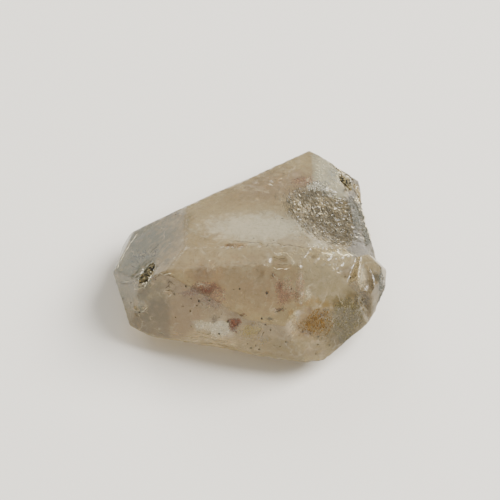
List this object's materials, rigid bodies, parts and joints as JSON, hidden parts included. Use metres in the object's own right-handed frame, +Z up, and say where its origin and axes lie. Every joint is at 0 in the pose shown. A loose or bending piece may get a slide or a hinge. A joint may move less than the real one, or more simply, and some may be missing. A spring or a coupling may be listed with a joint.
{
  "type": "actinolite quartz specimen",
  "caption": "Stubby, faceted quartz crystal with a smoky, frosted body, rose and ochre stains, a hackled hollow, a broken end and small dark actinolite crusts.",
  "frame": {"origin": "middle of the specimen's bounding box, on the flat bed face that it rests on", "axes": "+Z up from the bed face; +X from the crystal's tip to its broken end, its longest extent; -Y towards the front"},
  "size_m": [0.0508, 0.0449, 0.021],
  "materials": {
    "quartz": "satin, slightly frosted",
    "actinolite": "dark, silky blades"
  },
  "bodies": {
    "root": {"quartz_crystal": "quartz", "actinolite_pit_crust": "actinolite", "actinolite_rim_crust": "actinolite"}
  },
  "joints": []
}
